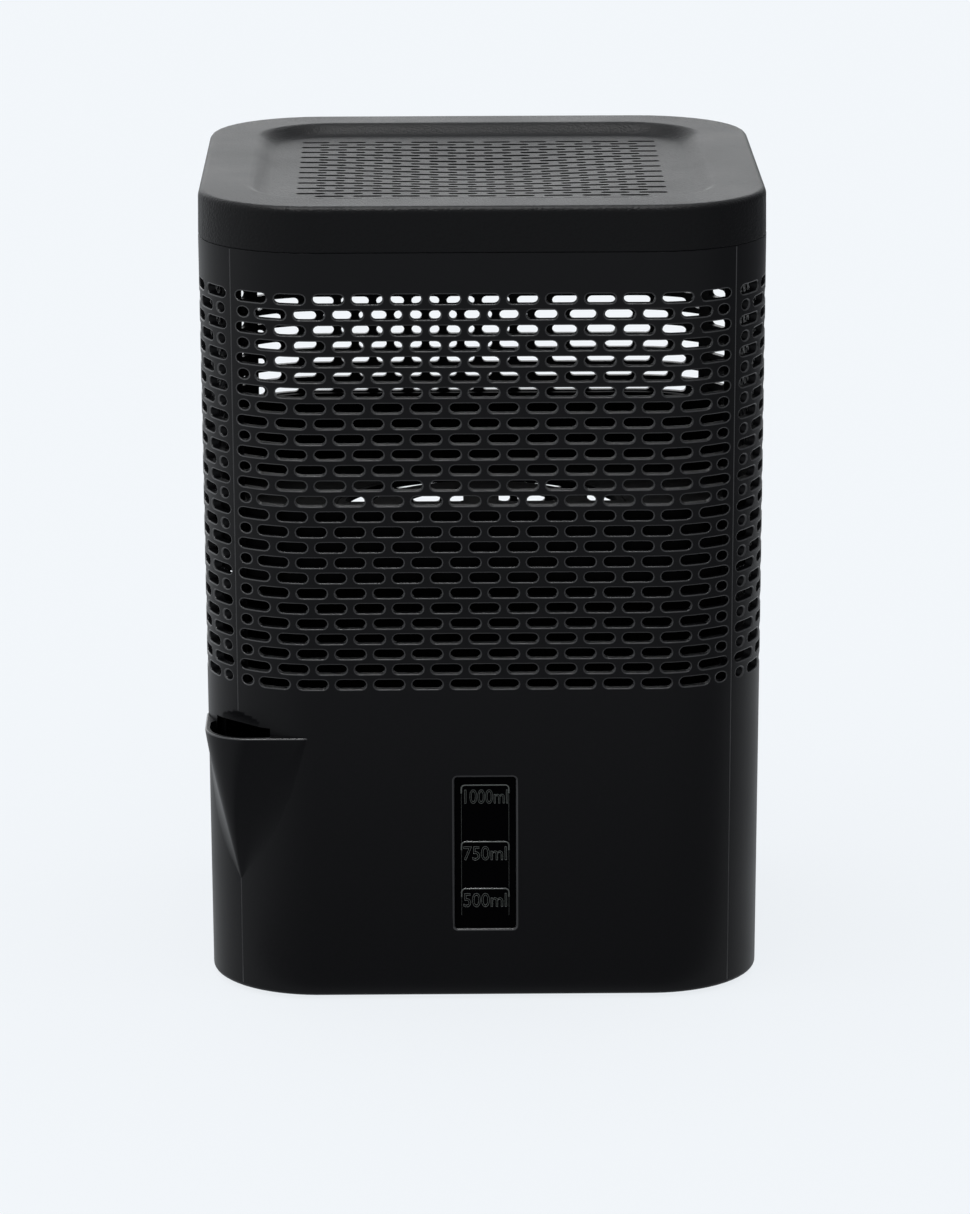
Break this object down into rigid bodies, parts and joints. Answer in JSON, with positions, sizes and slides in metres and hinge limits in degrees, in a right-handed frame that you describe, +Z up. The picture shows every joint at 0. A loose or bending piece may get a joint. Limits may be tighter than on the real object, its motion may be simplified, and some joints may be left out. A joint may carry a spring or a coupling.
{
  "type": "dehumidifier",
  "caption": "Square tub moisture absorber with grille walls, lift-off slotted lid, perforated drip tray, pouring beak and a level window.",
  "frame": {"origin": "middle of the base, on the surface the feet stand on", "axes": "+Z up, -Y out of the front face with the level window, +X to the right of the front"},
  "size_m": [0.145, 0.145, 0.208],
  "materials": {
    "shell_plastic": "fine-grained satin black moulding",
    "lid_plastic": "spark-eroded matte black moulding",
    "tray_plastic": "plain black moulding",
    "window_plastic": "polished, nearly black, with raised marks",
    "seal_rubber": "soft black",
    "foot_rubber": "soft black"
  },
  "bodies": {
    "base": {"tank_body": "shell_plastic", "level_window": "window_plastic", "window_seal": "seal_rubber", "foot_front_left": "foot_rubber", "foot_front_right": "foot_rubber", "foot_back_left": "foot_rubber", "foot_back_right": "foot_rubber"},
    "lid": {"lid": "lid_plastic"},
    "tray": {"drip_tray": "tray_plastic", "drip_grate": "tray_plastic"}
  },
  "joints": [
    {"name": "lid_lift", "type": "slide", "parent": "base", "child": "lid", "axis": [0, 0, 1], "range_m": [0, 0.12]},
    {"name": "tray_lift", "type": "slide", "parent": "base", "child": "tray", "axis": [0, 0, 1], "range_m": [0, 0.055]}
  ]
}
